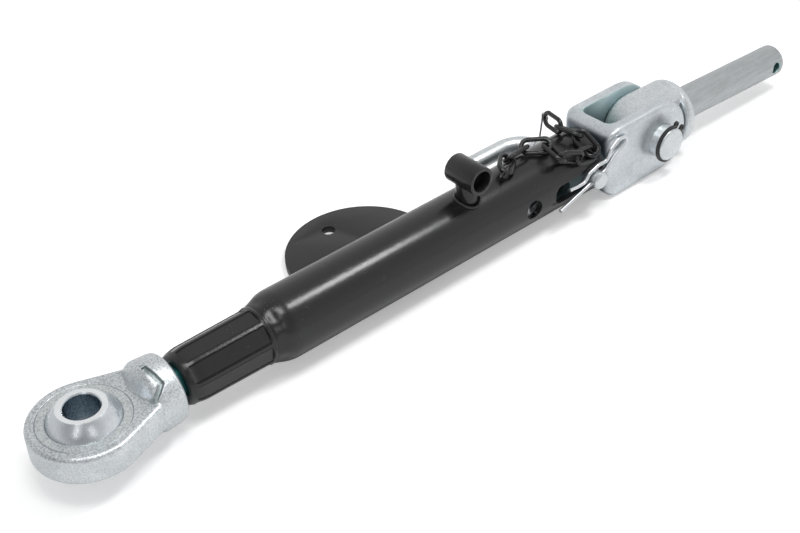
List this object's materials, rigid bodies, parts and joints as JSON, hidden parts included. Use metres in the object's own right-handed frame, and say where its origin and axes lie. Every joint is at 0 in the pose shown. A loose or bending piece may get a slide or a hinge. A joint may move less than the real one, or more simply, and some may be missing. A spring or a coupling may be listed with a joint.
{
  "type": "tractor stabilizer bar",
  "caption": "Telescopic stabilizer bar: painted tube with a ball eye at one end, sliding bar with fork and hinged pin at the other, locking pin on a chain, welded plate and cross tube.",
  "frame": {"origin": "centre of the ball's bore, midway between the ball's two flat faces", "axes": "+X along the bar from the ball to the hinged pin; +Z along the ball's bore, on the side of the cross tube; the locking pin and the fork's pivot run along Y, the locking pin's handle on the +Y side"},
  "size_m": [0.7786, 0.1606, 0.0953],
  "materials": {
    "ball_steel": "machined, bright",
    "race_steel": "turned",
    "eye_forging": "zinc plated forging",
    "tube_paint": "semi gloss black paint",
    "plate_paint": "semi gloss black paint",
    "weld_beads": "painted over",
    "rest_tube_paint": "semi gloss black paint",
    "rest_post_paint": "semi gloss black paint",
    "rest_weld": "painted over",
    "bar_zinc": "zinc plated",
    "fork_zinc": "zinc plated forging",
    "fork_weld_bead": "zinc plated weld",
    "pivot_zinc": "zinc plated",
    "snap_ring_steel": "blackened spring steel",
    "hinged_pin_zinc": "zinc plated forging",
    "locking_pin_zinc": "zinc plated",
    "cotter_steel": "zinc plated spring wire",
    "staple_paint": "painted over",
    "tether_wire": "drawn wire",
    "chain_steel": "painted steel wire"
  },
  "bodies": {
    "tube": {"outer_tube": "tube_paint", "round_plate": "plate_paint", "plate_weld": "weld_beads", "cross_tube": "rest_tube_paint", "cross_tube_post": "rest_post_paint", "cross_tube_weld": "rest_weld", "chain_staple": "staple_paint", "chain_link_1": "chain_steel", "chain_link_2": "chain_steel", "chain_link_3": "chain_steel", "chain_link_4": "chain_steel", "chain_link_5": "chain_steel", "chain_link_6": "chain_steel", "chain_link_7": "chain_steel", "chain_link_8": "chain_steel", "chain_link_9": "chain_steel", "tether": "tether_wire"},
    "eye": {"ball_eye": "eye_forging", "ball_race": "race_steel"},
    "ball": {"ball": "ball_steel"},
    "bar": {"sliding_bar": "bar_zinc", "fork": "fork_zinc", "fork_weld": "fork_weld_bead", "pivot_pin": "pivot_zinc", "snap_ring_near": "snap_ring_steel", "snap_ring_far": "snap_ring_steel"},
    "lock": {"locking_pin": "locking_pin_zinc", "spring_cotter": "cotter_steel"},
    "end_pin": {"hinged_pin": "hinged_pin_zinc"}
  },
  "joints": [
    {"name": "eye_screw", "type": "hinge", "parent": "tube", "child": "eye", "pos_m": [0.1, 0, 0], "axis": [1, 0, 0], "range_deg": [-360, 360]},
    {"name": "ball_tilt", "type": "hinge", "parent": "eye", "child": "ball", "pos_m": [0, 0, 0], "axis": [0, 1, 0], "range_deg": [-16, 16]},
    {"name": "bar_slide", "type": "slide", "parent": "tube", "child": "bar", "axis": [1, 0, 0], "range_m": [-0.004, 0.0008]},
    {"name": "lock_turn", "type": "hinge", "parent": "bar", "child": "lock", "pos_m": [0.4635, 0, 0], "axis": [0, 1, 0], "range_deg": [-90, 90]},
    {"name": "end_pin_swing", "type": "hinge", "parent": "bar", "child": "end_pin", "pos_m": [0.5466, 0, 0], "axis": [0, 1, 0], "range_deg": [-90, 88]}
  ]
}
